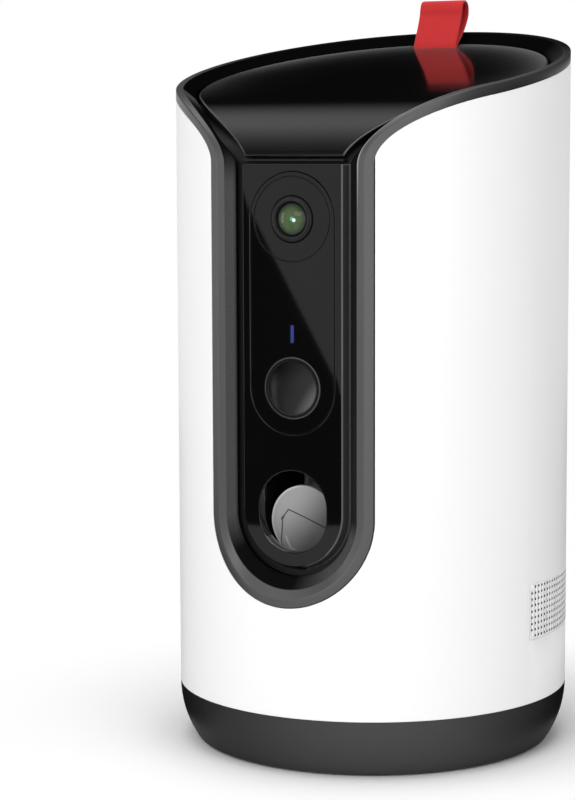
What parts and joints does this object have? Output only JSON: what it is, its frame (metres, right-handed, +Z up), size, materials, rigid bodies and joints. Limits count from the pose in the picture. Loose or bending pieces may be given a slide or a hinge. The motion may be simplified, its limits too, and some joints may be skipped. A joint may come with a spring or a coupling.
{
  "type": "treat tossing pet camera",
  "caption": "Round tower pet camera with a sloping black lid and red pull tab, a front channel holding lens, motion sensor and treat port, and a hopper, rotor and sprung toss paddle inside.",
  "frame": {"origin": "on the tower's axis at the surface that it stands on", "axes": "+Z up, -Y towards the front with the lens and the treat port, +X towards the speaker side"},
  "size_m": [0.13, 0.1302, 0.25],
  "materials": {
    "white_shell": "satin white moulded ABS",
    "satin_grey": "satin dark grey moulded trim",
    "base_grey": "dark grey moulded base",
    "gloss_black": "piano black acrylic",
    "matte_black": "matte black moulding",
    "satin_black": "satin black moulding",
    "lens_glass": "coated camera glass",
    "status_blue": "blue light pipe",
    "red_webbing": "woven red webbing",
    "rubber_black": "non-slip rubber",
    "gasket_grey": "soft silicone",
    "clear_smoke": "translucent food-safe plastic",
    "natural_plastic": "light grey engineering plastic",
    "paddle_grey": "satin light grey plastic",
    "rotor_orange": "food-safe coloured plastic",
    "acetal": "natural acetal gears",
    "steel": "zinc plated steel",
    "motor_can": "plated motor can",
    "circuit_board": "solder mask green board",
    "speaker_black": "paper cone in a black frame"
  },
  "bodies": {
    "tower": {"outer_shell": "white_shell", "collar": "satin_grey", "inner_frame": "matte_black", "front_panel": "gloss_black", "sensor_window": "gloss_black", "lens_ring": "satin_black", "lens_glass": "lens_glass", "camera_module": "matte_black", "status_light_pipe": "status_blue", "status_light_board": "circuit_board", "motion_sensor_ring": "satin_black", "motion_sensor_dome": "satin_black", "motion_sensor": "motor_can", "base": "base_grey", "base_plate": "base_grey", "rubber_feet": "rubber_black", "base_screws": "steel", "speaker_grille": "white_shell", "speaker": "speaker_black", "usb_inlet": "steel", "reset_switch": "matte_black", "hopper": "clear_smoke", "hopper_screws": "steel", "throat_guard": "natural_plastic", "rotor_housing": "natural_plastic", "housing_screws": "steel", "rotor_motor": "motor_can", "treat_chute": "natural_plastic", "launcher_housing": "natural_plastic", "launcher_screws": "steel", "paddle_spring": "steel", "launch_motor": "motor_can", "launch_motor_bracket": "steel", "chassis_plate": "natural_plastic", "chassis_screws": "steel", "main_board": "circuit_board", "board_screws": "steel"},
    "lid": {"lid": "gloss_black", "lid_gasket": "gasket_grey", "lid_pull_tab": "red_webbing"},
    "metering_rotor": {"metering_rotor": "rotor_orange"},
    "rotor_pinion": {"rotor_pinion": "acetal", "rotor_motor_shaft": "steel"},
    "toss_paddle": {"toss_paddle": "paddle_grey", "paddle_shaft": "steel", "paddle_gear": "acetal"},
    "launch_pinion": {"launch_pinion": "acetal", "launch_motor_shaft": "steel"},
    "reset_button": {"reset_button": "base_grey"}
  },
  "joints": [
    {"name": "lid_lift", "type": "slide", "parent": "tower", "child": "lid", "axis": [0, 0, 1], "range_m": [0, 0.06]},
    {"name": "rotor_spin", "type": "hinge", "parent": "tower", "child": "metering_rotor", "pos_m": [0, 0.006, 0.1178], "axis": [0, 0, 1], "continuous": true},
    {"name": "rotor_pinion_spin", "type": "hinge", "parent": "tower", "child": "rotor_pinion", "pos_m": [0, 0.036, 0.1178], "axis": [0, 0, 1], "continuous": true},
    {"name": "paddle_swing", "type": "hinge", "parent": "tower", "child": "toss_paddle", "pos_m": [0, -0.042, 0.064], "axis": [1, 0, 0], "range_deg": [-34, 0], "stiffness_Nm_per_rad": 0.02, "springref_deg": 34.38},
    {"name": "launch_pinion_spin", "type": "hinge", "parent": "tower", "child": "launch_pinion", "pos_m": [0, -0.0252, 0.064], "axis": [1, 0, 0], "range_deg": [0, 68]},
    {"name": "reset_press", "type": "slide", "parent": "tower", "child": "reset_button", "axis": [0, -1, 0], "range_m": [0, 0.0008], "stiffness_N_per_m": 300, "springref_m": -0.001}
  ],
  "couplings": [
    {"joint": "rotor_pinion_spin", "follows": "rotor_spin", "ratio": -3.2857},
    {"joint": "launch_pinion_spin", "follows": "paddle_swing", "ratio": -2}
  ]
}
